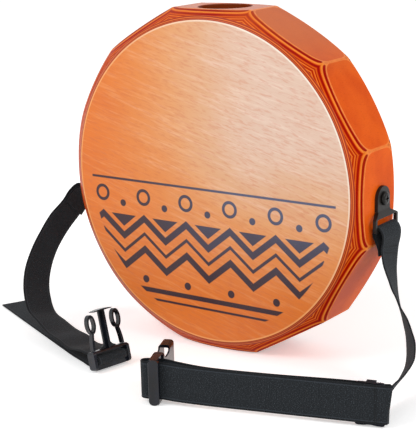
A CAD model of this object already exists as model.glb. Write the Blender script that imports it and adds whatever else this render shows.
import math

import bpy
from mathutils import Matrix, Vector


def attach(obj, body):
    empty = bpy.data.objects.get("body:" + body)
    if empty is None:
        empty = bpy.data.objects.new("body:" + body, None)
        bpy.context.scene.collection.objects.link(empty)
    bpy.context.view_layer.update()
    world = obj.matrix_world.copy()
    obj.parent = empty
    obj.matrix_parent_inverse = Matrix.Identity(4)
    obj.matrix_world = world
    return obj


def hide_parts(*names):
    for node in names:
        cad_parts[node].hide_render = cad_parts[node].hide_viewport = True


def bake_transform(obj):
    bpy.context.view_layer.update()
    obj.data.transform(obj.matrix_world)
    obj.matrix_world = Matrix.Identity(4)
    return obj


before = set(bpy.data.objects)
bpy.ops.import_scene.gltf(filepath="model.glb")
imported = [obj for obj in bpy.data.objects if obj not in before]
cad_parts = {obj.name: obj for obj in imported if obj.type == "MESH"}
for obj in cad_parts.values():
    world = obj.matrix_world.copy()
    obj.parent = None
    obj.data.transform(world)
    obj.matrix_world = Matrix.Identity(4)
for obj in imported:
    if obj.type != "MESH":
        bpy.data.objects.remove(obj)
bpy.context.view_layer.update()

# Drum, in metres
DRUM_CENTRE = Vector((0, 0, 0.180))
STAVES = 12
HALF_STAVE = math.pi / STAVES
FACET_RADIUS = 0.180
STAVE_WALL = 0.016
DEPTH = 0.082
FRONT_Y = -DEPTH / 2
BACK_Y = DEPTH / 2
SLOPE = math.tan(HALF_STAVE)
ARRIS_RADIUS = 0.008
GLUE_LINE = 0.00004
PLATE_RADIUS = 0.1698
PLATE_THICKNESS = 0.003
CORNER_RADIUS = FACET_RADIUS / math.cos(HALF_STAVE)
EDGE_RUN = CORNER_RADIUS - PLATE_RADIUS
FRONT_EDGE = (0.0156, 0.634, 0.405)
BACK_EDGE = (0.0178, 0.55, 0.45)
WORN_ROUND = 0.0012
BORDER_EASE = 0.0016
SOUND_HOLE_RADIUS = 0.028
SOUND_HOLE_FLARE = 0.0012
INSERT_BORE_RADIUS = 0.0048
OVERRUN = 0.004
GRAIN_LEAN = math.radians(-15)
INK_BLUR = 0.0004
ZIGZAG_HALF = 0.028
ZIGZAG_SLOPE = 0.7857

# Strap hardware, in metres
SEAT = 0.0003
BRACKET_Y = 0.002
SCREW_Z = 0.178
SCREW_RADIUS = 0.0024
WEBBING_WIDTH = 0.038
WEBBING_THICKNESS = 0.0016
STITCH_DROP = 0.019
STITCH_SIZE = (0.0021, 0.0006, 0.0005)
STITCH_REACH = 0.0165
STITCH_GAPS = 12
BAR_Z = SCREW_Z - 0.030
SOCKET_AT = Vector((0.046, -0.201, 0))
SOCKET_TURN = math.radians(113)
SOCKET_HEIGHT = 0.046
SOCKET_THICKNESS = 0.012
MID_HEIGHT = SOCKET_HEIGHT / 2
LAY_TURN = math.radians(15.5)
FOLD = 0.226
PLUG_AT = Vector((-0.0557, -0.1403, 0.00163))
PLUG_TURN = math.radians(78.5)
PLUG_LEAN = math.radians(14)
PLUG_BAR = 0.004
UP = Vector((0, 0, 1))
DOWN = Vector((0, 0, -1))

# The slider, by its place along the doubled strap and behind its front layer
WRAP = WEBBING_THICKNESS / 2 + SEAT
SLIDER_LENGTH = 0.028
SLIDER_END = FOLD - 1.5 * WEBBING_THICKNESS - SEAT
SLIDER_START = SLIDER_END - SLIDER_LENGTH
SLIDER_BAR_THICKNESS = 0.0023
STRAP_BEHIND = WRAP + SLIDER_BAR_THICKNESS + WRAP + WEBBING_THICKNESS + SEAT
SLIDER_BACK_BAR = STRAP_BEHIND + WRAP
SLIDER_BACK = SLIDER_BACK_BAR + SLIDER_BAR_THICKNESS

# Camera, fitted to the photograph
CAMERA_AT = (0.8040, -1.1653, 0.4936)
CAMERA_RIGHT = (0.8171, 0.5760, -0.0250)
CAMERA_FORWARD = (-0.5635, 0.7887, -0.2457)
CAMERA_LENS = 112.44

# How bright the surroundings are as light, where they show as 1
WORLD_LIGHT = 0.48


# Working with Blender's own tools

def only(thing):
    """Leaves one thing selected and active."""
    if bpy.context.mode != "OBJECT":
        bpy.ops.object.mode_set(mode="OBJECT")
    bpy.ops.object.select_all(action="DESELECT")
    thing.select_set(True)
    bpy.context.view_layer.objects.active = thing


def shaping(thing):
    """Opens one thing for edits, with all of it selected."""
    only(thing)
    bpy.ops.object.mode_set(mode="EDIT")
    bpy.ops.mesh.select_all(action="SELECT")


def shaped():
    bpy.ops.object.mode_set(mode="OBJECT")


def named(name):
    thing = bpy.context.active_object
    thing.name = name
    thing.data.name = name
    return thing


def started(name, add, **settings):
    """One of Blender's basic shapes, under its own name."""
    bpy.ops.object.select_all(action="DESELECT")
    add(**settings)
    return named(name)


def extruded(way):
    """Pulls out what is selected."""
    bpy.ops.mesh.extrude_region_move(TRANSFORM_OT_translate={"value": Vector(way)})


def traced(name, points):
    """A line through the points, drawn by pulling one vertex along."""
    line = started(name, bpy.ops.mesh.primitive_plane_add, size=0.01)
    shaping(line)
    bpy.ops.mesh.merge(type="CENTER")
    here = Vector(points[0])
    bpy.ops.transform.translate(value=here)
    for point in points[1:]:
        there = Vector(point)
        extruded(there - here)
        here = there
    return line


def outward(thing):
    """Merges doubles and turns every face outwards."""
    shaping(thing)
    bpy.ops.mesh.remove_doubles(threshold=0.000002)
    bpy.ops.mesh.normals_make_consistent(inside=False)
    shaped()
    return thing


def gridded(name, wide, deep):
    """A grid one metre across, by its counts of cells."""
    grid = bpy.ops.mesh.primitive_grid_add
    return started(name, grid, x_subdivisions=wide, y_subdivisions=deep, size=1)


def on_grid(vertex, wide, deep):
    """A grid's vertex by its column and row."""
    return round((vertex.co.x + 0.5) * wide), round((vertex.co.y + 0.5) * deep)


def slab(name, outline, thickness):
    """A flat outline pulled out into a solid."""
    solid = traced(name, outline)
    bpy.ops.mesh.select_all(action="SELECT")
    bpy.ops.mesh.edge_face_add()
    extruded(thickness)
    return outward(solid)


def slab_x(name, outline, start, thickness):
    return slab(name, [(start, y, z) for y, z in outline], (thickness, 0, 0))


def slab_y(name, outline, start, thickness):
    return slab(name, [(x, start, z) for x, z in outline], (0, thickness, 0))


def sheet_y(name, outline, thickness):
    """A slab that lies evenly on both sides of the XZ plane."""
    return slab_y(name, outline, -thickness / 2, thickness)


def post(name, outline, low=0.0, high=SOCKET_HEIGHT):
    return slab(name, [(x, y, low) for x, y in outline], (0, 0, high - low))


def turned(name, profile, axis, centre, steps):
    """A profile spun once round an axis."""
    solid = traced(name, profile)
    bpy.ops.mesh.select_all(action="SELECT")
    bpy.ops.mesh.spin(steps=steps, angle=math.tau, center=centre, axis=axis, use_auto_merge=True)
    return outward(solid)


def turned_x(name, profile, steps):
    return turned(name, [(x, radius, 0) for x, radius in profile], (1, 0, 0), (0, 0, 0), steps)


def finished_by(thing, kind, **settings):
    """One modifier, applied."""
    only(thing)
    modifier = thing.modifiers.new(kind.lower(), kind)
    for key, value in settings.items():
        setattr(modifier, key, value)
    bpy.ops.object.modifier_apply(modifier=modifier.name)
    return thing


def combined(operation, base, others):
    for other in others:
        finished_by(base, "BOOLEAN", operation=operation, solver="EXACT", object=other)
        bpy.data.objects.remove(other)
    return base


def cut_from(base, *others):
    return combined("DIFFERENCE", base, others)


def welded(base, *others):
    return combined("UNION", base, others)


def shared(base, *others):
    return combined("INTERSECT", base, others)


def eased(thing, width, segments, angle):
    """Breaks every edge sharper than an angle."""
    finished_by(
        thing, "BEVEL", width=width, segments=segments, limit_method="ANGLE",
        angle_limit=math.radians(angle), use_clamp_overlap=True, miter_outer="MITER_ARC",
    )
    return outward(thing)


def smooth(thing, angle, weighted=True):
    only(thing)
    bpy.ops.object.shade_smooth_by_angle(angle=math.radians(angle))
    if weighted:
        finished_by(thing, "WEIGHTED_NORMAL", keep_sharp=True, weight=60)
    return thing


def settled(thing, matrix):
    """Sets a piece in its place, with the place kept in its mesh."""
    only(thing)
    thing.matrix_world = matrix
    bpy.ops.object.transform_apply(location=True, rotation=True, scale=True)
    return thing


def copied(thing, name):
    copy = thing.copy()
    copy.data = thing.data.copy()
    copy.name = name
    copy.data.name = name
    bpy.context.collection.objects.link(copy)
    return copy


def joined(things, name):
    only(things[0])
    for thing in things[1:]:
        thing.select_set(True)
    bpy.ops.object.join()
    return named(name)


# Outlines, as points in a plane

def arc(centre, radius, start, end, steps):
    """Points on an arc, angles in degrees."""
    points = []
    for step in range(steps + 1):
        angle = math.radians(start + (end - start) * step / steps)
        points.append((centre[0] + radius * math.cos(angle), centre[1] + radius * math.sin(angle)))
    return points


def oblong(left, low, right, high):
    return [(left, low), (right, low), (right, high), (left, high)]


def rounded(left, low, right, high, radius, steps=4):
    """An oblong with rounded corners."""
    corners = oblong(left + radius, low + radius, right - radius, high - radius)
    starts = [(corners[1], -90), (corners[2], 0), (corners[3], 90), (corners[0], 180)]
    return [point for centre, start in starts for point in arc(centre, radius, start, start + 90, steps)]


def oval(centre, wide, tall, steps):
    turns = [math.tau * step / steps for step in range(steps)]
    return [(centre[0] + wide * math.cos(turn), centre[1] + tall * math.sin(turn)) for turn in turns]


def pulled(start, handle, end, steps):
    """Points on a curve with one handle."""
    points = []
    for step in range(steps + 1):
        t = step / steps
        curve = ((1 - t) ** 2 * a + 2 * t * (1 - t) * b + t * t * c for a, b, c in zip(start, handle, end))
        points.append(tuple(curve))
    return points


# Finishes. A colour is a wire, or red, green and blue from 0 to 255.

def shade(red, green, blue):
    """A colour as a painter names it, as light."""
    def light(value):
        value /= 255
        return value / 12.92 if value <= 0.04045 else ((value + 0.055) / 1.055) ** 2.4
    return (light(red), light(green), light(blue), 1)


def math_node(operation, turned_round=False):
    """A sum on a wire, which adds one Math node to its finish."""
    def result(*values):
        inputs = reversed(values) if turned_round else values
        return values[0].finish.node("ShaderNodeMath", {"operation": operation}, dict(enumerate(inputs)))
    return result


class Wire:
    """A value inside a finish."""

    __add__ = math_node("ADD")
    __radd__ = math_node("ADD", True)
    __sub__ = math_node("SUBTRACT")
    __rsub__ = math_node("SUBTRACT", True)
    __mul__ = math_node("MULTIPLY")
    __rmul__ = math_node("MULTIPLY", True)
    __truediv__ = math_node("DIVIDE")
    __abs__ = math_node("ABSOLUTE")
    root = math_node("SQRT")
    sine = math_node("SINE")
    least = math_node("MINIMUM")
    most = math_node("MAXIMUM")
    rounded_least = math_node("SMOOTH_MIN")
    to_and_fro = math_node("PINGPONG")

    def __init__(self, finish, socket):
        self.finish = finish
        self.socket = socket

    def above(self, low, high):
        """Nothing below low, one above high, and a soft step between."""
        values = dict(enumerate((self, low, high, 0, 1)))
        return self.finish.node("ShaderNodeMapRange", {"interpolation_type": "SMOOTHSTEP"}, values)

    def below(self, low, high):
        return 1 - self.above(low, high)


class Finish:
    """The nodes of a new material, known by its name, or of the surroundings."""

    def __init__(self, holder, shader="Principled BSDF"):
        self.holder = bpy.data.materials.new(holder) if isinstance(holder, str) else holder
        self.holder.use_nodes = True
        self.tree = self.holder.node_tree
        self.shader = self.tree.nodes[shader]

    def node(self, kind, settings=None, inputs=None, output=0):
        node = self.tree.nodes.new(kind)
        for key, value in (settings or {}).items():
            setattr(node, key, value)
        for key, value in (inputs or {}).items():
            self.fed(node.inputs[key], value)
        return Wire(self, node.outputs[output])

    def fed(self, socket, value):
        if isinstance(value, Wire):
            self.tree.links.new(value.socket, socket)
        else:
            socket.default_value = value

    def sets(self, **values):
        """Values by the shader's own socket names, with _ for a space."""
        for key, value in values.items():
            self.fed(self.shader.inputs[key.replace("_", " ")], value)
        return self.holder

    def spot(self):
        return self.node("ShaderNodeTexCoord", output="Object")

    def marked(self, name, output="Vector"):
        return self.node("ShaderNodeAttribute", {"attribute_name": name}, output=output)

    def seen(self):
        """One for the camera and reflections, and nothing for the light that is given off."""
        names = ("Is Camera Ray", "Is Glossy Ray", "Is Transmission Ray")
        camera, mirrored, through = (self.node("ShaderNodeLightPath", output=name) for name in names)
        return camera.most(mirrored).most(through)

    def along(self, vector, *axes):
        return [self.node("ShaderNodeSeparateXYZ", inputs={0: vector}, output=axis) for axis in axes]

    def stretched(self, vector, scale, turn=(0, 0, 0)):
        return self.node("ShaderNodeMapping", inputs={"Vector": vector, "Scale": scale, "Rotation": turn})

    def noise(self, vector, scale, detail, rough=0.5, distortion=0.0):
        return self.node("ShaderNodeTexNoise", inputs={
            "Vector": vector, "Scale": scale, "Detail": detail, "Roughness": rough, "Distortion": distortion,
        })

    def grain(self, vector, scales, detail, rough=0.5, distortion=0.0):
        """Noise with a scale of its own on each axis."""
        return self.noise(self.stretched(vector, scales), 1, detail, rough, distortion)

    def ramp(self, value, stops):
        wire = self.node("ShaderNodeValToRGB", inputs={0: value})
        elements = wire.socket.node.color_ramp.elements
        while len(elements) < len(stops):
            elements.new(0.5)
        for element, (place, colour) in zip(elements, stops):
            element.position = place
            element.color = shade(*colour)
        return wire

    def painted(self, colour, *layers):
        """A colour with others laid over it, each by its own share."""
        settings = {"data_type": "RGBA", "clamp_factor": True}
        for over, share in layers:
            under, over = (tone if isinstance(tone, Wire) else shade(*tone) for tone in (colour, over))
            colour = self.node("ShaderNodeMix", settings, {0: share, 6: under, 7: over}, output=2)
        return colour

    def bumped(self, height, depth, strength, onto=None):
        inputs = {"Height": height, "Distance": depth, "Strength": strength}
        if onto:
            inputs["Normal"] = onto
        return self.node("ShaderNodeBump", inputs=inputs)


def distance(first, second):
    return (first * first + second * second).root()


def stave_finish():
    """Stained, glossy plywood: face veneer on the facets, and the plies in bands on the turned edges."""
    wood = Finish("stained_plywood")
    spot = wood.spot()
    place = wood.marked("place")
    depth, side = wood.along(place, "X", "Z")
    run = wood.marked("edge_run", "Fac")
    across, deep, high = wood.along(spot, "X", "Y", "Z")

    cloud = wood.noise(spot, 16, 3, 0.55)
    speck = wood.noise(spot, 700, 3, 0.7)
    pores = wood.grain(place, (900, 160, 1100), 3, 0.6)
    facet = wood.painted(
        (214, 78, 12), ((230, 96, 20), cloud.above(0.35, 0.65)),
        ((232, 108, 30), speck.above(0.5, 0.7) * 0.3), ((178, 50, 12), pores.above(0.56, 0.72) * 0.35),
        ((172, 96, 34), high.above(0.29, 0.34) * 0.45),
    )

    mitre = (FACET_RADIUS - depth) * SLOPE - abs(side)
    border = run.rounded_least(mitre, 0.018)
    sway = wood.noise(spot, 34, 2)
    thread = wood.grain(place, (2600, 1, 30), 2, 0.7)
    level = (depth + (run - border) * 0.8 + (sway - 0.5) * 0.0004) / STAVE_WALL
    dark, red, warm, bright = (150, 10, 0), (184, 38, 0), (212, 90, 16), (234, 130, 46)
    plies = wood.ramp(level, [
        (0.0, (206, 74, 10)), (0.014, red), (0.03, dark), (0.125, dark), (0.15, bright), (0.20, bright),
        (0.225, warm), (0.25, red), (0.28, dark), (0.33, dark), (0.36, red), (0.39, warm), (0.42, warm),
        (0.445, dark), (0.475, red), (0.51, bright), (0.535, warm), (0.56, red), (0.60, dark), (0.63, warm),
        (0.66, bright), (0.69, red), (0.74, dark), (0.80, warm), (0.86, red), (0.92, dark), (1.0, warm),
    ])
    plies = wood.painted(
        plies, ((140, 20, 0), thread.above(0.50, 0.68) * 0.4),
        ((222, 106, 40), cloud.above(0.5, 0.75) * 0.25),
    )

    worn = border.below(0.0008, 0.0018) * border.above(-0.0008, -0.0001)
    arris = mitre.below(0.0011, 0.0022) * run.above(-0.0010, 0.0004)
    scuffed = wood.noise(spot, 160, 3, 0.6).above(0.3, 0.6)
    raw = wood.painted((214, 178, 124), ((186, 144, 92), pores.above(0.4, 0.7)))
    inside = (depth - STAVE_WALL).above(-0.0004, -0.0001)
    in_hole = (distance(across, deep) - SOUND_HOLE_RADIUS).below(0.0004, 0.0007) * high.above(0.30, 0.31)
    skin = wood.painted(
        plies, (facet, border.above(-0.0003, 0.0003)),
        ((240, 138, 66), worn.most(arris) * (scuffed * 0.3 + 0.5)), (raw, inside),
        ((92, 26, 12), in_hole * 0.8),
    )
    normal = wood.bumped(speck, 0.00012, 0.3, wood.bumped(pores, 0.00010, 0.2))
    return wood.sets(
        Base_Color=skin, Roughness=0.30 + (cloud - 0.5) * 0.10 + speck * 0.06 + inside * 0.4, Normal=normal,
        Specular_IOR_Level=0.025, Coat_Weight=0.03 + high.above(0.29, 0.35) * 0.24, Coat_Roughness=0.14,
        Coat_IOR=1.5,
    )


def inked(off, reach):
    """How much ink a spot has, by how far off the middle of the mark it is."""
    return off.below(reach - INK_BLUR, reach + INK_BLUR)


def band_print(across, height):
    """A printed band: zigzags between lines, with triangles, rings and dots above."""
    from_peak, from_dip = ((across + count * ZIGZAG_HALF).to_and_fro(ZIGZAG_HALF) for count in (19, 20))
    wave = (from_dip - ZIGZAG_HALF / 2) * ZIGZAG_SLOPE
    slant = math.cos(math.atan(ZIGZAG_SLOPE))
    marks = []
    for level, stroke in ((0.122, 0.0070), (0.105, 0.0034), (0.088, 0.0070)):
        marks.append(inked(abs(height - level - wave) * slant, stroke / 2))
    for aside, level, size in ((from_peak, 0.0655, 0.0042), (from_dip, 0.1475, 0.0038)):
        marks.append(inked(distance(aside, height - level), size))
    triangle = (height - 0.1215 - from_dip * ZIGZAG_SLOPE).above(-INK_BLUR, INK_BLUR)
    marks.append(triangle * height.below(0.1345, 0.1351))
    marks.append(abs(distance(from_peak, height - 0.1565) - 0.0076).below(0.0014, 0.0020))
    for level, stroke in ((0.0540, 0.0054), (0.0440, 0.0026), (0.1740, 0.0026)):
        marks.append(inked(abs(height - level), stroke / 2))
    ink = marks[0]
    for mark in marks[1:]:
        ink = ink.most(mark)
    return ink


def plate_finish(name, printed):
    """Clear honey veneer, paler to the upper right, with a thin sanded rim. The playing side is printed."""
    wood = Finish(name)
    spot = wood.spot()
    across, height = wood.along(spot, "X", "Z")
    past_rim = distance(across, height - DRUM_CENTRE.z) - PLATE_RADIUS

    lie = wood.stretched(spot, (1, 1, 1), (0, GRAIN_LEAN, 0))
    streaks = wood.grain(lie, (20, 60, 260), 5, 0.65, 0.4)
    fine = wood.grain(lie, (80, 200, 480), 3, 0.6, 0.5)
    cloud = wood.grain(lie, (8, 30, 18), 3, 0.55)
    rightward = (across + (cloud - 0.5) * 0.05).above(-0.17, 0.08)
    pale = rightward * (height + (cloud - 0.5) * 0.06).above(0.04, 0.25)
    veneer = wood.ramp(pale, [
        (0.0, (222, 118, 46)), (0.25, (222, 136, 72)), (0.5, (222, 156, 104)), (0.75, (219, 170, 132)),
        (1.0, (220, 189, 169)),
    ])
    glint = wood.painted((236, 164, 100), ((244, 226, 212), pale))
    veneer = wood.painted(
        veneer, ((208, 96, 36), cloud.above(0.5, 0.8) * (0.45 - pale * 0.4)),
        (glint, streaks.above(0.46, 0.76) * 0.40), ((200, 104, 66), fine.above(0.46, 0.68) * 0.32),
    )

    worn = wood.noise(spot, 1300, 2, 0.7)
    if printed:
        ink = band_print(across, height) * past_rim.below(-0.0163, -0.0153)
        paint = wood.painted((24, 32, 48), ((66, 82, 112), pale.above(0.0, 0.8)))
        veneer = wood.painted(veneer, (paint, ink * (0.95 - worn.above(0.6, 0.8) * 0.25)))

    rim_tone = wood.painted((236, 168, 104), ((246, 236, 220), pale))
    rim = past_rim.above(-0.0020, -0.0014) * past_rim.below(-0.0004, 0)
    dark, warm = (150, 34, 2), (222, 112, 40)
    plies = wood.ramp((past_rim + 0.0002) / 0.006, [
        (0.0, warm), (0.06, dark), (0.15, dark), (0.21, warm), (0.27, dark), (0.36, dark), (0.42, warm),
        (0.50, warm), (0.56, dark), (0.70, (160, 46, 10)), (0.78, warm), (0.86, dark), (1.0, dark),
    ])
    skin = wood.painted(
        veneer, (rim_tone, rim * (worn * 0.5 + 0.55).least(1.0)), (plies, past_rim.above(-0.0002, 0.0001)),
    )
    normal = wood.bumped(streaks, 0.0003, 0.18, wood.bumped(fine, 0.00012, 0.3))
    return wood.sets(
        Base_Color=skin, Roughness=0.34 + (streaks - 0.5) * 0.14 + worn * 0.04, Normal=normal,
        Specular_IOR_Level=0.2, Coat_Weight=0.12 * past_rim.below(-0.0018, -0.0002), Coat_Roughness=0.3,
        Coat_IOR=1.5,
    )


def webbing_finish():
    """Black webbing in a fine plain weave, with a denser selvedge."""
    cloth = Finish("black_webbing")
    place = cloth.node("ShaderNodeUVMap", {"uv_map": "lay"})
    across, along = cloth.along(place, "X", "Y")
    warp = (across * (math.tau / 0.0013)).sine()
    weave = (along * (math.tau / 0.0016) + warp * 1.4).sine() * 0.5 + 0.5
    rib = abs((across * (math.pi / 0.0026)).sine())
    fuzz = cloth.grain(place, (1500, 900, 1), 3, 0.7)
    tone = cloth.grain(place, (60, 22, 1), 2)
    from_edge = WEBBING_WIDTH / 2 - abs(across)
    selvedge = from_edge.below(0.0016, 0.0022)
    seam = abs(from_edge - 0.0026).below(0.0002, 0.0006)
    thread = cloth.painted(
        (16, 18, 20), ((38, 42, 46), weave * 0.5 + fuzz * 0.5),
        ((96, 104, 112), fuzz.above(0.54, 0.68) * 0.6), ((44, 48, 52), tone.above(0.45, 0.8) * 0.25),
        ((14, 15, 17), selvedge * 0.6), ((66, 72, 80), seam * 0.45),
    )
    height = weave * 0.6 + rib * 0.3 + fuzz * 0.35 + selvedge * 0.3
    return cloth.sets(
        Base_Color=thread, Roughness=0.75 + fuzz * 0.2, Normal=cloth.bumped(height, 0.00022, 0.8),
        Specular_IOR_Level=0.15, Sheen_Weight=0.04, Sheen_Roughness=0.5,
    )


def plastic_finish(name, level, rough):
    """Black moulded plastic with a faint flow texture."""
    plastic = Finish(name)
    spot = plastic.spot()
    flow = plastic.grain(spot, (90, 90, 30), 3, 0.6)
    grit = plastic.noise(spot, 1600, 2, 0.6)
    return plastic.sets(
        Base_Color=plastic.painted((8, 10, 15), ((22, 25, 36), flow.above(0.35, 0.75))),
        Roughness=rough + flow * 0.12, Normal=plastic.bumped(flow + grit * 0.15, 0.00025, 0.2),
        Specular_IOR_Level=level,
    )


def coated_finish(name, dark, light, rough, metallic, grit_scale=1400):
    """A fine-textured coating on metal."""
    coat = Finish(name)
    spot = coat.spot()
    grit = coat.noise(spot, grit_scale, 3, 0.7)
    cloud = coat.noise(spot, 120, 3, 0.6)
    return coat.sets(
        Base_Color=coat.painted(dark, (light, cloud.above(0.35, 0.7) * 0.6 + grit * 0.25)),
        Roughness=rough + (grit - 0.5) * 0.2, Metallic=metallic, Normal=coat.bumped(grit, 0.00012, 0.5),
        Specular_IOR_Level=0.3,
    )


def bare_wood_finish():
    wood = Finish("bare_wood")
    spot = wood.spot()
    grain = wood.grain(spot, (10, 300, 300), 4, 0.6, 0.3)
    pores = wood.grain(spot, (90, 1800, 1800), 3, 0.6)
    colour = wood.painted(
        (214, 180, 128), ((184, 142, 90), grain.above(0.35, 0.7)),
        ((150, 108, 64), pores.above(0.58, 0.75) * 0.4),
    )
    return wood.sets(
        Base_Color=colour, Roughness=0.6 + pores * 0.2, Normal=wood.bumped(grain + pores, 0.0003, 0.3),
    )


def drawn_metal_finish(name, colour, worn, rough):
    metal = Finish(name)
    spot = metal.spot()
    draw = metal.grain(spot, (2400, 2400, 60), 3, 0.6)
    stain = metal.noise(spot, 220, 3, 0.6)
    return metal.sets(
        Base_Color=metal.painted(colour, (worn, stain.above(0.45, 0.75) * 0.6)), Metallic=1.0,
        Roughness=rough + draw * 0.15, Normal=metal.bumped(draw, 0.00006, 0.3),
    )


STAVE_FINISH = stave_finish()
PLAYING_FINISH = plate_finish("playing_veneer", True)
BACK_FINISH = plate_finish("back_veneer", False)
WEBBING_FINISH = webbing_finish()
PLASTIC_FINISH = plastic_finish("glossy_plastic", 0.35, 0.12)
SLIDER_FINISH = plastic_finish("satin_plastic", 0.12, 0.5)
BRACKET_FINISH = coated_finish("bracket_coating", (11, 8, 6), (30, 22, 17), 0.5, 0.0)
SCREW_FINISH = coated_finish("screw_coating", (14, 13, 12), (34, 32, 30), 0.36, 0.6, 2400)
WOOD_FINISH = bare_wood_finish()
STEEL_FINISH = drawn_metal_finish("snare_steel", (190, 192, 196), (150, 150, 152), 0.28)
BRASS_FINISH = drawn_metal_finish("insert_brass", (196, 168, 92), (150, 122, 60), 0.3)
THREAD_FINISH = coated_finish("sewing_thread", (7, 7, 9), (22, 23, 26), 0.7, 0.0, 3000)


def finish_piece(thing, body, material, slot, *nodes):
    """Gives a piece its finish, its body and the solids it stands for."""
    thing.data.materials.clear()
    thing.data.materials.append(material)
    if nodes:
        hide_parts(*nodes)
    if body:
        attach(thing, body)


# Shell: twelve mitred staves with turned edges, and a thin plate on either side. A turned edge is a
# curve with one handle: its depth, and the shares of its run and of its depth at the handle.

def curve_share(handle, reach):
    """How far along a curve with one handle it has come to a reach, all from 0 to 1."""
    a = 1 - 2 * handle
    b = 2 * handle
    return (-b + math.sqrt(b * b + 4 * a * reach)) / (2 * a)


def curve_reach(handle, share):
    return 2 * (1 - share) * share * handle + share * share


def edge_radius(depth, edge):
    """How far out a turned edge is, at a depth behind its plate's face."""
    edge_depth, out_share, in_share = edge
    if depth >= edge_depth:
        return CORNER_RADIUS + 0.004 + (depth - edge_depth) * 1.2
    return PLATE_RADIUS + EDGE_RUN * curve_reach(out_share, curve_share(in_share, max(depth, 0) / edge_depth))


def edge_depth_at(radius, edge):
    """The depth at which a turned edge reaches a radius."""
    edge_depth, out_share, in_share = edge
    return edge_depth * curve_reach(in_share, curve_share(out_share, (radius - PLATE_RADIUS) / EDGE_RUN))


def facet_radius(angle):
    """How far out a facet is at an angle from its middle, with its arris eased."""
    angle = abs(angle)
    tangent_at = math.atan((FACET_RADIUS - ARRIS_RADIUS) * SLOPE / FACET_RADIUS)
    if angle <= tangent_at:
        return FACET_RADIUS / math.cos(angle)
    reach = (FACET_RADIUS - ARRIS_RADIUS) / math.cos(HALF_STAVE)
    off = HALF_STAVE - angle
    return reach * math.cos(off) + math.sqrt(ARRIS_RADIUS ** 2 - (reach * math.sin(off)) ** 2)


def softer_least(first, second):
    near = max(WORN_ROUND - abs(first - second), 0) / WORN_ROUND
    return min(first, second) - near * near * WORN_ROUND / 4


def spaced(*marks):
    """Values from mark to mark, each mark with its count of steps to the next one."""
    values = []
    for (start, steps), (end, _) in zip(marks, marks[1:]):
        values += [start + (end - start) * step / steps for step in range(steps)]
    return values + [marks[-1][0]]


def stave_columns():
    flat = 1 - ARRIS_RADIUS / FACET_RADIUS
    return spaced((-1, 3), (-flat, 24), (flat, 3), (1, 0))


def stave_rows(angle):
    """Depths behind the playing plate's face, following both borders of the facet."""
    front = edge_depth_at(facet_radius(angle), FRONT_EDGE)
    back = DEPTH - edge_depth_at(facet_radius(angle), BACK_EDGE)
    start = PLATE_THICKNESS + GLUE_LINE
    return spaced(
        (start, 8), (front - BORDER_EASE, 10), (front + BORDER_EASE, 6), (back - BORDER_EASE, 10),
        (back + BORDER_EASE, 8), (DEPTH - start, 0),
    )


def stave_blank():
    """The stave that faces +X: a grid laid over its outside, pulled in to its flat inner face."""
    columns = stave_columns()
    wide, deep = len(columns) - 1, len(stave_rows(0)) - 1
    stave = gridded("stave_blank", wide, deep)
    shaping(stave)
    extruded((0, 0, 1))
    shaped()
    for vertex in stave.data.vertices:
        column, row = on_grid(vertex, wide, deep)
        column = columns[column]
        angle = math.atan(column * SLOPE)
        depth = stave_rows(angle)[row]
        if vertex.co.z > 0.5:
            reach = softer_least(facet_radius(angle), edge_radius(depth, FRONT_EDGE))
            reach = softer_least(reach, edge_radius(DEPTH - depth, BACK_EDGE))
            out = reach * math.cos(angle)
            aside = reach * math.sin(angle)
        else:
            out = FACET_RADIUS - STAVE_WALL
            aside = column * SLOPE * out
        aside -= math.copysign(GLUE_LINE * abs(column), column) if column else 0
        vertex.co = (out, FRONT_Y + depth, aside)
    return outward(stave)


def stave_turn(hour):
    return Matrix.Translation(DRUM_CENTRE) @ Matrix.Rotation(-math.radians(90 - 30 * hour), 4, "Y")


def mark_place(stave, hour):
    """Keeps on each vertex its depth below the facet, its place on the stave, and its way from the edge."""
    back = stave_turn(hour).inverted()
    places = []
    runs = []
    for vertex in stave.data.vertices:
        local = back @ vertex.co
        radius = facet_radius(max(-HALF_STAVE, min(HALF_STAVE, math.atan2(local.z, local.x))))
        depth = local.y - FRONT_Y
        front = depth - edge_depth_at(radius, FRONT_EDGE)
        rear = DEPTH - depth - edge_depth_at(radius, BACK_EDGE)
        places += [FACET_RADIUS - local.x, local.y, local.z]
        runs.append(min(front, rear))
    stave.data.attributes.new("place", "FLOAT_VECTOR", "POINT").data.foreach_set("vector", places)
    stave.data.attributes.new("edge_run", "FLOAT", "POINT").data.foreach_set("value", runs)


def sound_hole_cutter():
    top = 2 * FACET_RADIUS
    wide = SOUND_HOLE_RADIUS + SOUND_HOLE_FLARE
    mouth = arc((wide, top - SOUND_HOLE_FLARE), SOUND_HOLE_FLARE, 90, 180, 6)
    foot = top - STAVE_WALL - OVERRUN
    profile = [(0, top + OVERRUN), (wide, top + OVERRUN)] + mouth + [(SOUND_HOLE_RADIUS, foot), (0, foot)]
    points = [(radius, 0, height) for radius, height in profile]
    return turned("sound_hole_cutter", points, (0, 0, 1), (0, 0, 0), 96)


def bore_cutter(side):
    low = side * (FACET_RADIUS - STAVE_WALL - OVERRUN)
    high = side * (FACET_RADIUS + OVERRUN)
    profile = [(low, 0), (low, INSERT_BORE_RADIUS), (high, INSERT_BORE_RADIUS), (high, 0)]
    return settled(turned_x("bore_cutter", profile, 32), Matrix.Translation((0, BRACKET_Y, SCREW_Z)))


def make_shell():
    blank = stave_blank()
    for hour in range(1, STAVES + 1):
        stave = settled(copied(blank, f"turned_stave_{hour}"), stave_turn(hour))
        if hour == STAVES:
            cut_from(stave, sound_hole_cutter())
        if hour in (3, 9):
            cut_from(stave, bore_cutter(1 if hour == 3 else -1))
        smooth(outward(stave), 28)
        mark_place(stave, hour)
        finish_piece(stave, "drum", STAVE_FINISH, "plywood", f"stave_{hour}")
    bpy.data.objects.remove(blank)


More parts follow.
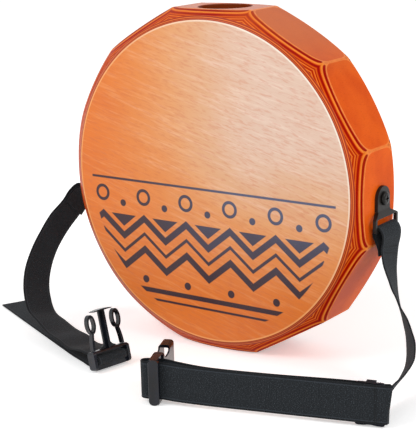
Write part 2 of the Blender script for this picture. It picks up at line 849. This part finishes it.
def make_plate(name, edge, face_y, inward, material, slot, node):
    """A thin disc whose rim carries on into the turned edge."""
    ease = 0.0005
    profile = [(0, 0), (PLATE_RADIUS - 2 * ease, 0), (PLATE_RADIUS - 0.6 * ease, 0.15 * ease)]
    depths = (0.0004, 0.001, 0.0017, 0.0024, PLATE_THICKNESS)
    profile += [(edge_radius(depth, edge) - 0.0001, depth) for depth in depths]
    profile.append((0, PLATE_THICKNESS))
    points = [(radius, face_y + inward * depth, DRUM_CENTRE.z) for radius, depth in profile]
    plate = smooth(turned(name, points, (0, 1, 0), DRUM_CENTRE, 192), 28)
    finish_piece(plate, "drum", material, slot, node)


# Strap brackets and their screws, made at the screw's axis: X out of the stave, Z up

def bracket_place(side):
    turn = Matrix.Identity(4) if side > 0 else Matrix.Rotation(math.pi, 4, "Z")
    return Matrix.Translation((side * FACET_RADIUS, BRACKET_Y, SCREW_Z)) @ turn


def make_bracket():
    half = 0.0125
    ring = 0.023
    corner = 0.004
    foot = -0.032
    profile = [
        (0.0003, 0.025), (0.0003, -0.0118), (0.0006, -0.0132), (0.0035, -0.0172), (0.0038, -0.0186),
        (0.0038, foot), (0.0073, foot), (0.0073, -0.0178), (0.0070, -0.0164), (0.0041, -0.0124),
        (0.0038, -0.011), (0.0038, 0.025),
    ]
    shoulder = [(half, -0.013), (half + 0.0015, -0.0136), (ring - 0.0012, -0.0172), (ring, -0.0186)]
    outline = arc((0, 0), half, 0, 180, 24) + [(-y, z) for y, z in shoulder]
    outline += arc((corner - ring, foot + corner), corner, 180, 270, 6)
    outline += arc((ring - corner, foot + corner), corner, 270, 360, 6)
    outline += reversed(shoulder)
    through = (-0.002, 0.013)
    plate = shared(slab_y("bracket", profile, -0.026, 0.052), slab_x("bracket_outline", outline, *through))
    cut_from(
        plate,
        slab_x("bracket_slot", rounded(-0.0195, -0.028, 0.0195, -0.018, 0.0016), *through),
        slab_x("bracket_hole", oval((0, 0), SCREW_RADIUS + SEAT, SCREW_RADIUS + SEAT, 28), *through),
    )
    return smooth(eased(plate, 0.0005, 2, 50), 32)


def make_screw():
    seat = 0.0041
    rim = seat + 0.0012
    head = [(seat, 0), (seat, 0.0066), (seat + 0.0004, 0.007), (rim, 0.007)]
    head += [(rim + 0.0022 * math.sin(a), 0.0036 + 0.0034 * math.cos(a)) for a in (0.3, 0.6, 0.9, 1.2, 1.57)]
    head.append((seat + 0.0034, 0))
    top = seat + 0.0002
    shank = [(-0.012, 0), (-0.0116, 0.0018), (-0.011, SCREW_RADIUS), (top, SCREW_RADIUS), (top, 0)]
    screw = welded(turned_x("screw", head, 40), turned_x("shank", shank, 24))
    for wide, tall in ((0.0008, 0.0032), (0.0032, 0.0008)):
        arm = rounded(-wide, -tall, wide, tall, 0.0005, 2)
        cut_from(screw, slab_x("recess", arm, seat + 0.0050, -0.0034))
    return smooth(eased(screw, 0.0002, 1, 50), 32)


def make_brackets():
    bracket = make_bracket()
    screw = make_screw()
    for name, side in (("right", 1), ("left", -1)):
        piece = settled(copied(bracket, f"joggled_bracket_{name}"), bracket_place(side))
        finish_piece(piece, f"bracket_{name}", BRACKET_FINISH, "bracket", f"strap_bracket_{name}")
        piece = settled(copied(screw, f"pan_screw_{name}"), bracket_place(side))
        finish_piece(piece, "drum", SCREW_FINISH, "screw", f"strap_screw_{name}")
    bpy.data.objects.remove(bracket)
    bpy.data.objects.remove(screw)


# Where the pieces on the floor stand

def standing(place, turn):
    return Matrix.Translation(place) @ Matrix.Rotation(turn, 4, "Z")


SOCKET_PLACE = standing(SOCKET_AT, SOCKET_TURN)
LAY_PLACE = standing(SOCKET_PLACE @ Vector((0.0075, 0, 0)), LAY_TURN)
ON_LAY = Vector((math.cos(LAY_TURN), math.sin(LAY_TURN), 0))
PLUG_PLACE = standing(PLUG_AT, PLUG_TURN) @ Matrix.Rotation(-PLUG_LEAN, 4, "X")


# Buckle socket, standing on its edge: X along it from its end bar, Z up

def make_socket():
    half = SOCKET_THICKNESS / 2
    wall = 0.0018
    inner = half - wall
    bar = 0.005
    bar_half = 0.0053
    corner = 0.0012
    top = SOCKET_HEIGHT
    round_ends = slab_x("round_ends", rounded(-bar_half, 0, bar_half, top, 0.0046, 8), -0.001, bar + 0.002)
    end_bar = shared(post("end_bar", rounded(0, -bar_half, bar, bar_half, corner)), round_ends)
    end_bar = eased(end_bar, corner, 3, 40)
    inner_bar = post("inner_bar", rounded(2 * bar, -bar / 2, 3 * bar, bar / 2, corner), 0.0004, top - 0.0004)
    rail = rounded(bar / 2, -inner, 0.022, inner, 0.0006, 2)
    rails = [post("rail", rail, low, low + 0.0031) for low in (0.0002, top - 0.0033)]
    round_back = slab_x("round_back", rounded(-half, 0, half, top, 0.0036, 8), 0.019, 0.044)
    body = shared(post("socket_body", rounded(0.020, -half, 0.062, half, corner)), round_back)
    socket = welded(eased(body, 0.0008, 3, 40), end_bar, inner_bar, *rails)
    cut_from(socket, slab_x("cavity", rounded(-inner, 0.003, inner, 0.043, 0.001, 3), 0.024, 0.042))
    for edge, inward in ((0, 1), (top, -1)):
        shallow = edge + inward * 0.0035
        deep = edge + inward * 0.007
        outline = [(0.024, edge - inward * 0.004)]
        outline += pulled((0.024, shallow), (0.024, deep), (0.0345, deep), 8)
        outline += pulled((0.0345, deep), (0.045, deep), (0.045, shallow), 8)[1:]
        outline += [(0.045, edge - inward * 0.004)]
        cut_from(socket, slab_y("window", outline, -0.010, 0.020))
    socket = smooth(eased(socket, 0.00035, 2, 50), 32)
    socket.name = "side_release_socket"
    settled(socket, SOCKET_PLACE)
    finish_piece(socket, "socket", PLASTIC_FINISH, "plastic", "buckle_socket")


def make_slider():
    """An oblong frame with a middle bar. The outer bars are thin, and the strap runs behind them."""
    start, end, front = SLIDER_START, SLIDER_END, WRAP
    middle = start + SLIDER_LENGTH / 2
    low_rail, high_rail, top = 0.0030, 0.0412, 0.0422
    bar = 0.0055
    waist = 0.0045
    past = 0.003
    lap = 0.0001
    depth = SLIDER_BACK - front
    outline = [(start + 0.0030, 0.0008)]
    outline += pulled((start + 0.0085, 0.0010), (middle, 0.0024), (end - 0.0085, 0.0010), 8)
    outline += [(end - 0.0030, 0.0008)] + arc((end - 0.002, 0.0030), 0.002, -75, 0, 5)
    outline += arc((end - 0.003, top - 0.003), 0.003, 0, 90, 5)
    outline += arc((start + 0.003, top - 0.003), 0.003, 90, 180, 5)
    outline += arc((start + 0.002, 0.0030), 0.002, 180, 255, 5)
    slider = slab_y("ladder_slider", outline, front, depth)
    slots = [(start + bar, middle - bar / 2), (middle + bar / 2, end - bar)]
    for low, far in slots:
        opening = rounded(low, low_rail, far, high_rail, 0.0006, 2)
        cut_from(slider, slab_y("slot", opening, front - past, depth + 2 * past))
    behind = front + SLIDER_BAR_THICKNESS
    for low, far, near, deep in (
        (start - past, slots[0][0] + lap, behind, 0.02),
        (slots[1][1] - lap, end + past, behind, 0.02),
        (slots[0][1] - lap, slots[1][0] + lap, front - past, past + SLIDER_BACK_BAR - front),
    ):
        cut_from(slider, slab_y("relief", oblong(low, low_rail, far, high_rail), near, deep))
    for low, far in ((start - past, middle - waist), (middle + waist, end + past)):
        shelf = oblong(low, high_rail - lap, far, top + past)
        cut_from(slider, slab_y("shelf", shelf, front + 0.0036, 0.02))
    slider = smooth(eased(slider, 0.0005, 3, 40), 32)
    settled(slider, LAY_PLACE)
    finish_piece(slider, "slider", SLIDER_FINISH, "plastic", "strap_slider")


# Buckle plug: X across it, Y through it, Z up along its arms

def make_plug():
    half = 0.0235
    top = 5 * PLUG_BAR
    wall = 0.0034
    opening = half - wall
    round_side = slab_x("round_side", rounded(-0.0055, 0, 0.0055, top, wall, 8), -0.03, 0.06)
    plug = shared(sheet_y("plug_frame", rounded(-half, 0, half, top, 0.0030, 6), 0.011), round_side)
    plug = eased(plug, 0.0008, 3, 40)
    for low, high in ((1.22 * PLUG_BAR, 2 * PLUG_BAR), (3 * PLUG_BAR, 4 * PLUG_BAR)):
        cut_from(plug, sheet_y("plug_slot", rounded(-opening, low, opening, high, 0.0008, 3), 0.02))
    relief = rounded(-opening, -0.004, opening, top - 0.0024, 0.0006, 2)
    for low in (-0.0152, 0.0022):
        cut_from(plug, slab_y("plug_relief", relief, low, 0.013))
    root = top - PLUG_BAR / 2
    guide_top = 0.0605
    under = guide_top - 0.0007
    flare = pulled((0.010, top + 0.0012), (0.0048, top + 0.0022), (0.0028, top + 0.008), 6)
    gusset = [(-0.010, root), (0.010, root)] + flare + [(-x, z) for x, z in reversed(flare)]
    wide = 0.012
    low = guide_top - 0.0014
    crown = pulled((wide, under), (0, guide_top + 0.0014), (-wide, under), 12)
    welded(
        plug,
        sheet_y("guide", oblong(-0.004, root, 0.004, under), 0.0024),
        sheet_y("rib", oblong(-0.0012, root, 0.0012, under), 0.008),
        sheet_y("gusset", gusset, 0.0024),
        sheet_y("crossbar", [(-wide, low), (wide, low)] + crown, 0.008),
    )
    plug = smooth(eased(plug, 0.0004, 2, 50), 32)
    plug.name = "side_release_plug"
    settled(plug, PLUG_PLACE)
    finish_piece(plug, "drum", PLASTIC_FINISH, "plastic", "buckle_plug")


def make_arm():
    """The arm on the plug's +X side, with an eye through its head."""
    middle = 0.019
    width = 0.0026
    foot = 0.0203
    head_x, head_z = 0.01635, 0.0475
    neck = head_z - 0.010
    inner = middle - width / 2
    outer = middle + width / 2
    half_way = (foot + neck) / 2
    strip = [(inner, foot)] + pulled((outer, foot), (outer, half_way), (head_x + width / 3, neck + width), 10)
    strip += pulled((head_x - width / 3, neck + width / 3), (inner, half_way), (inner, foot), 10)[:-1]
    arm = sheet_y("arm", oval((head_x, head_z), 0.0052, 0.010, 48), 0.0056)
    welded(arm, sheet_y("arm_strip", strip, 0.0054))
    cut_from(arm, sheet_y("arm_eye", oval((head_x, head_z), 0.0033, 0.0074, 36), 0.02))
    return smooth(eased(arm, 0.0008, 3, 50), 32)


def make_arms():
    arm = make_arm()
    for name, flip in (("right", 1), ("left", -1)):
        piece = settled(copied(arm, f"spring_arm_{name}"), PLUG_PLACE @ Matrix.Diagonal((flip, 1, 1, 1)))
        smooth(outward(piece), 32)
        finish_piece(piece, f"arm_{name}", PLASTIC_FINISH, "plastic", f"plug_arm_{name}")
    bpy.data.objects.remove(arm)


# Strap routes: stations along the webbing's middle line. Loops are measured in STITCH_DROP from the
# stave's face and the bracket's bar, hangs by the line between their ends, the slider's tables in
# SLIDER_LENGTH from the fold, the socket's loop in centimetres, the wrap in PLUG_BAR, and the tail by its
# line and WEBBING_THICKNESS. A row of six or seven numbers ends in the way across the webbing there. In a
# loop's short row it is +Y.

RIGHT_LOOP = [
    (0.392, -1.28, 0, -0.05, 0.98, -0.12), (0.406, -1, 0), (0.272, -0.606, 0), (0.11, -0.29, 0),
    (0.1, 0.016, 0), (0.142, 0.164, 0), (0.284, 0.236, 0), (0.524, 0.094, 0), (0.66, -0.236, 0),
    (0.644, -0.632, -0.012, -0.01, 0.99, -0.05), (0.576, -1, -0.044, -0.02, 0.99, -0.12),
]
LEFT_LOOP = [
    (1.348, -1.174, -0.978, -0.03, 0.83, -0.55), (1.09, -0.48, -0.36, -0.05, 0.88, -0.47),
    (0.74, -0.29, -0.04, 0, 0.98, -0.15), (0.334, -0.268, 0), (0.122, -0.148, 0), (0.1, 0.052, 0),
    (0.142, 0.174, 0), (0.274, 0.242, 0), (0.606, 0.178, 0), (0.974, -0.032, -0.16, -0.02, 0.96, -0.24),
    (1.29, -0.5, -0.54, -0.06, 0.88, -0.46), (1.468, -1.122, -0.974, -0.03, 0.83, -0.55),
]
RIGHT_HANG = [
    (0.077, -0.007, 0.035, -0.045, -0.11, 0.96, -0.27), (0.154, 0.003, 0.073, -0.09, -0.25, 0.92, -0.29),
    (0.231, 0.016, 0.114, -0.129, -0.31, 0.84, -0.44), (0.308, 0.045, 0.136, -0.158, -0.3, 0.74, -0.6),
    (0.385, 0.078, 0.154, -0.177, -0.34, 0.61, -0.7), (0.462, 0.102, 0.158, -0.195, -0.38, 0.47, -0.8),
    (0.538, 0.119, 0.145, -0.199, -0.46, 0.33, -0.82), (0.615, 0.118, 0.122, -0.194, -0.56, 0.18, -0.81),
    (0.692, 0.109, 0.089, -0.167, -0.62, 0.1, -0.78), (0.769, 0.099, 0.054, -0.138, -0.62, 0.06, -0.79),
    (0.846, 0.095, 0.017, -0.102, -0.5, -0.01, -0.87),
]
LEFT_HANG = [
    (0.083, -0.093, -0.01, -0.031, 0, 0.76, -0.65), (0.167, -0.161, -0.037, -0.068, 0, 0.75, -0.67),
    (0.25, -0.212, -0.06, -0.103, 0.09, 0.77, -0.64), (0.333, -0.245, -0.08, -0.141, 0.2, 0.81, -0.55),
    (0.417, -0.254, -0.091, -0.171, 0.26, 0.87, -0.43), (0.5, -0.242, -0.092, -0.194, 0.25, 0.92, -0.3),
    (0.583, -0.205, -0.078, -0.182, 0.26, 0.94, -0.21), (0.667, -0.166, -0.066, -0.164, 0.3, 0.94, -0.12),
    (0.75, -0.126, -0.054, -0.127, 0.34, 0.94, -0.08), (0.833, -0.088, -0.046, -0.097, 0.32, 0.94, -0.09),
    (0.917, -0.049, -0.028, -0.042, 0.23, 0.97, -0.1),
]
SLIDER_ENTRY = [
    (-0.3216, 0.4994, -0.0033, -0.45, 0.25, -0.86), (-0.3827, 0.3542, -0.0025, -0.3, 0.2, -0.93),
    (-0.4221, 0.2497, -0.0014, -0.12, 0.06, -0.99), (-0.4859, 0.2144, -0.0010, 0, 0, -1),
    (-0.6433, 0.228, -0.0009, 0, 0, -1), (-0.7505, 0.228, -0.0009, 0, 0, -1),
]
SLIDER_FOLD = [
    (-0.6636, 0, 0, -0.0006), (-0.3108, 0, 0.05, -0.0005), (-0.114, 0, 0.1, -0.0004),
    (0.0298, 0.0176, 0.13, -0.0004), (0.0515, 0.0828, 0.13, -0.0004), (0.0298, 0.1466, 0.13, -0.0004),
    (-0.114, 0.1642, 0.1, -0.0005), (-0.2646, 0.1656, 0.06, -0.0008), (-0.3501, 0.1506, 0.03, -0.0009),
    (-0.4506, 0.0746, 0, -0.0009), (-0.6636, 0.0679, 0, -0.0009),
]
SOCKET_LOOP = [(0.502, -0.6), (0.502, 0.201), (0.479, 0.901), (0.312, 1.319), (0, 1.459)]
SOCKET_LOOP += [(-a, b) for a, b in reversed(SOCKET_LOOP[:-1])]
PLUG_WRAP = [
    (0, 3.439), (-0.95, 3.32), (-1.4, 2.6), (-1.38, 1.8), (-0.92, 1.36), (0.152, 1.501), (2.004, 1.121),
]
TAIL_END = Vector((-0.291, -0.029, 0))
TAIL = [(0.08, 1.6), (0.17, 0.85), (0.3, 0.7), (0.5, 0.7), (0.75, 0.7), (1, 0.7)]


class Route:
    """A smooth line through stations of a strap."""

    def __init__(self, stations):
        self.points = [point for point, _ in stations]
        self.ways = [way.normalized() for _, way in stations]

    def leg(self, station):
        """The station, kept on the route, the number of the point before it, and of the last point."""
        last = len(self.points) - 1
        station = min(max(station, 0), last)
        here = min(int(station), last - 1)
        return station, here, last

    def point(self, station):
        station, here, last = self.leg(station)
        share = station - here
        p1, p2 = self.points[here], self.points[here + 1]
        p0 = self.points[here - 1] if here else 2 * p1 - p2
        p3 = self.points[here + 2] if here + 2 <= last else 2 * p2 - p1
        d0, d1, d2 = (math.sqrt((b - a).length) for a, b in ((p0, p1), (p1, p2), (p2, p3)))
        out = ((p1 - p0) / d0 - (p2 - p0) / (d0 + d1) + (p2 - p1) / d1) * d1
        back = ((p2 - p1) / d1 - (p3 - p1) / (d1 + d2) + (p3 - p2) / d2) * d1
        bend = -3 * p1 + 3 * p2 - 2 * out - back
        twist = 2 * p1 - 2 * p2 + out + back
        return p1 + out * share + bend * share ** 2 + twist * share ** 3

    def frame(self, station):
        """A point, the way across the webbing there, and the way out of its face."""
        station, here, _ = self.leg(station)
        step = 0.004
        tangent = (self.point(station + step) - self.point(station - step)).normalized()
        way = self.ways[here].lerp(self.ways[here + 1], station - here)
        way = (way - tangent * way.dot(tangent)).normalized()
        return self.point(station), way, way.cross(tangent)

    def marks(self, start, end, pace):
        """Stations spaced evenly along the webbing, and how far along each is."""
        count = max(int((end - start) * 40), 2)
        stations = [start + (end - start) * step / count for step in range(count + 1)]
        far = [0]
        for first, second in zip(stations, stations[1:]):
            far.append(far[-1] + (self.point(second) - self.point(first)).length)
        steps = max(round(far[-1] / pace), 2)
        marks = []
        index = 0
        for step in range(steps + 1):
            target = far[-1] * step / steps
            while index < count - 1 and far[index + 1] < target:
                index += 1
            share = min((target - far[index]) / max(far[index + 1] - far[index], 1e-9), 1)
            marks.append((stations[index] + (stations[index + 1] - stations[index]) * share, target))
        return marks


def on_lay(along, behind, rise=0.0):
    return LAY_PLACE @ Vector((along, behind, MID_HEIGHT + rise))


def in_socket(along, aside):
    return SOCKET_PLACE @ Vector((along, aside, MID_HEIGHT))


def loop_stations(side, table):
    stations = []
    for out, up, back, *way in table:
        x = side * (FACET_RADIUS + out * STITCH_DROP)
        point = Vector((x, BRACKET_Y + back * STITCH_DROP, BAR_Z + up * STITCH_DROP))
        stations.append((point, Vector(way or (0, 1, 0))))
    return stations


def hanging_stations(start, end, table):
    """Stations by their shares of the line between the ends, and how far off it they hang."""
    span = (end - start).length
    return [(start.lerp(end, row[0]) + Vector(row[1:4]) * span, Vector(row[4:])) for row in table]


def upright(table):
    """Stations on the floor's lay where the webbing stands on its edge, by shares of the fold's place."""
    return [(on_lay(share * FOLD, behind, rise), DOWN) for share, behind, rise in table]


def right_route():
    loop = loop_stations(1, RIGHT_LOOP)
    turn = LAY_PLACE.to_3x3()
    entry = [
        (on_lay(FOLD + a * SLIDER_LENGTH, b * SLIDER_LENGTH, rise), turn @ Vector(way))
        for a, b, rise, *way in SLIDER_ENTRY
    ]
    centimetre = 0.010
    middle = 0.0125
    hang = hanging_stations(loop[-1][0], entry[-1][0] + UP * 0.0012, RIGHT_HANG) + entry
    hang += upright([(0.796, STRAP_BEHIND, -0.0010), (0.509, 0.0030, -0.0012)])
    round_socket = upright([(0.221, 0.0030, -0.0011), (0.097, 0.0075, -0.0006)])
    round_socket += [
        (in_socket(middle + a * centimetre, b * centimetre), DOWN) for a, b in SOCKET_LOOP
    ]
    round_socket += upright([(0.097, 0, -0.0006), (0.221, 0, -0.0012)])
    front = upright([(0.398, 0, -0.0012), (0.664, 0, -0.0009)])
    fold = [
        (on_lay(FOLD + a * SLIDER_LENGTH, b * SLIDER_LENGTH, rise), (DOWN - ON_LAY * slant).normalized())
        for a, b, slant, rise in SLIDER_FOLD
    ]
    starts = len(loop) + len(hang)
    return Route(loop + hang + round_socket + front + fold), starts, starts + len(round_socket) - 1


def left_route():
    loop = loop_stations(-1, LEFT_LOOP)
    across = Vector((math.cos(PLUG_TURN), math.sin(PLUG_TURN), 0))
    wrap = [(PLUG_PLACE @ Vector((0, behind * PLUG_BAR, up * PLUG_BAR)), across) for behind, up in PLUG_WRAP]
    start = wrap[-1][0]
    way = -UP.cross(TAIL_END - start).normalized()
    tail = []
    for along, height in TAIL:
        point = start.lerp(TAIL_END, along)
        tail.append((Vector((point.x, point.y, height * WEBBING_THICKNESS)), way))
    return Route(loop + hanging_stations(loop[-1][0], wrap[0][0], LEFT_HANG) + wrap + tail)


def webbing_section():
    """The outline of the webbing, cut across: flat faces and softly rounded edges."""
    lift = WEBBING_THICKNESS / 2
    ease = 0.0007
    flat = WEBBING_WIDTH / 2 - ease
    face = [(-flat + 2 * flat * step / 8, lift) for step in range(9)]
    turns = [math.radians(angle) for angle in (30, 60, 90)]
    edge = [(flat + ease * math.sin(turn), lift - ease + ease * math.cos(turn)) for turn in turns]
    edge += [(x, -y) for x, y in reversed(edge)]
    half_way = face + edge
    return half_way + [(-x, -y) for x, y in half_way]


def make_strap(name, route, start, end):
    """A length of webbing along a route, closed at both ends, with its own woven place on every face."""
    marks = route.marks(start, end, 0.0025)
    section = webbing_section()
    long, round_it = len(marks) - 1, len(section)
    strap = gridded(name, long, round_it)
    frames = [route.frame(station) for station, _ in marks]
    spots = []
    for vertex in strap.data.vertices:
        ring, corner = on_grid(vertex, long, round_it)
        aside, lift = section[corner % round_it]
        spots.append((aside, marks[ring][1]))
        point, across, out = frames[ring]
        vertex.co = point + across * aside + out * lift
    lay = strap.data.uv_layers.new(name="lay")
    for loop in strap.data.loops:
        lay.data[loop.index].uv = spots[loop.vertex_index]
    strap.data.uv_layers.remove(strap.data.uv_layers[0])
    shaping(outward(strap))
    bpy.ops.mesh.fill_holes(sides=0)
    shaped()
    return smooth(outward(strap), 50, weighted=False), marks[-1][1]


def make_stitch():
    stitch = started("stitch", bpy.ops.mesh.primitive_cube_add, size=1)
    shaping(stitch)
    bpy.ops.transform.resize(value=STITCH_SIZE)
    shaped()
    return eased(stitch, 0.00018, 2, 30)


def make_stitching(name, route, rows, side, body):
    """Rows of thread across the webbing, on one of its faces."""
    stitch = make_stitch()
    stitches = []
    for station in rows:
        point, across, out = route.frame(station)
        turn = Matrix((across, across.cross(out), out)).transposed().to_4x4()
        for place in range(STITCH_GAPS + 1):
            aside = STITCH_REACH * (2 * place / STITCH_GAPS - 1)
            spot = point + across * aside + out * side * (WEBBING_THICKNESS / 2 + 0.00005)
            stitches.append(settled(copied(stitch, "stitch_copy"), Matrix.Translation(spot) @ turn))
    bpy.data.objects.remove(stitch)
    row = smooth(outward(joined(stitches, name)), 40, weighted=False)
    finish_piece(row, body, THREAD_FINISH, "webbing")


def side_out(route, station):
    """Which face of the webbing looks away from the drum's middle."""
    point, _, out = route.frame(station)
    return 1 if out.dot(point - DRUM_CENTRE) > 0 else -1


def make_straps():
    right, socket_start, socket_end = right_route()
    last = len(right.points) - 1
    strap, length = make_strap("strap_right", right, 0, socket_start)
    finish_piece(strap, None, WEBBING_FINISH, "webbing", "webbing_loop_right", "webbing_hang_right")
    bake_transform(strap)

    strap, length = make_strap("strap_round_socket", right, socket_start, socket_end)
    finish_piece(strap, None, WEBBING_FINISH, "webbing", "webbing_socket_loop")
    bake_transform(strap)

    strap, length = make_strap("strap_return", right, socket_end, last)
    finish_piece(strap, None, WEBBING_FINISH, "webbing", "webbing_return")
    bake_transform(strap)

    left = left_route()
    strap, length = make_strap("strap_left", left, 0, len(left.points) - 1)
    finish_piece(
        strap, None, WEBBING_FINISH, "webbing", "webbing_loop_left", "webbing_hang_left", "webbing_tail_left",
    )
    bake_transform(strap)

    make_stitching("stitching_right", right, (9.9, 10.35), side_out(right, 10), "bracket_right")
    make_stitching("stitching_left", left, (11.0, 11.4), side_out(left, 11), "bracket_left")
    make_stitching("stitching_slider", right, (last - 9.4, last - 9.2), 1, "slider")


def finish_inside():
    """Gives the solids inside the drum, which stay as they are, their materials."""
    for material, names in (
        (WOOD_FINISH, ["snare_rail"]),
        (STEEL_FINISH, ["snare_strands", "snare_screw_left", "snare_screw_right"]),
        (BRASS_FINISH, ["strap_insert_left", "strap_insert_right"]),
    ):
        for name in names:
            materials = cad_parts[name].data.materials
            materials.clear()
            materials.append(material)


# Floor, light and camera

def make_floor():
    """White to the camera and in reflections, and plain matt white for the light that falls on it."""
    plane = bpy.ops.mesh.primitive_plane_add
    floor = started("studio_floor", plane, size=14, location=(0, 0, -0.0004))
    white = Finish("studio_white")
    spot = white.spot()
    soft = white.noise(spot, 3, 2)
    away = distance(*white.along(spot, "X", "Y"))
    glow = white.painted((206, 206, 206), ((255, 255, 255), away.above(0.2, 0.8)))
    floor.data.materials.append(white.sets(
        Base_Color=white.painted((250, 250, 250), ((252, 252, 252), soft)), Roughness=0.9 - soft * 0.02,
        Emission_Color=white.painted((0, 0, 0), (glow, white.seen())), Emission_Strength=0.6,
        Specular_IOR_Level=0.1,
    ))


def make_light(name, place, target, size, power):
    light = bpy.data.lights.new(name, "AREA")
    light.shape = "RECTANGLE"
    light.size, light.size_y = size
    light.energy = power
    holder = bpy.data.objects.new(name, light)
    bpy.context.collection.objects.link(holder)
    holder.location = place
    holder.rotation_euler = (Vector(target) - Vector(place)).to_track_quat("-Z", "Y").to_euler()


def make_surroundings():
    """A white studio, dimmer for the light that it gives than for the camera and reflections."""
    world = bpy.data.worlds.new("studio")
    bpy.context.scene.world = world
    studio = Finish(world, "Background")
    studio.sets(Color=(1, 1, 1, 1), Strength=studio.seen() * (1 - WORLD_LIGHT) + WORLD_LIGHT)


def make_camera():
    """Seen from the front right, a little above, with a slight roll."""
    data = bpy.data.cameras.new("camera")
    camera = bpy.data.objects.new("camera", data)
    bpy.context.collection.objects.link(camera)
    right = Vector(CAMERA_RIGHT).normalized()
    forward = Vector(CAMERA_FORWARD).normalized()
    right = (right - forward * right.dot(forward)).normalized()
    turn = Matrix((right, right.cross(forward), -forward)).transposed().to_4x4()
    camera.matrix_world = Matrix.Translation(CAMERA_AT) @ turn
    data.lens = CAMERA_LENS
    bpy.context.scene.camera = camera


make_shell()
make_plate("front_plate", FRONT_EDGE, FRONT_Y, 1, PLAYING_FINISH, "playing_face", "playing_plate")
make_plate("rear_plate", BACK_EDGE, BACK_Y, -1, BACK_FINISH, "plywood", "back_plate")
make_brackets()
make_socket()
make_slider()
make_plug()
make_arms()
make_straps()
finish_inside()
make_floor()
make_light("key", (-0.9, -1.6, 1.5), (0, 0, 0.15), (1.2, 1.2), 21)
make_light("rim", (1.7, 0.2, 1.3), (0, 0, 0.15), (1.0, 1.0), 14)
make_light("fill", (0.9, -1.9, 0.7), (0, 0, 0.12), (1.4, 1.0), 8)
make_surroundings()
make_camera()
bpy.context.scene.view_settings.view_transform = "Standard"
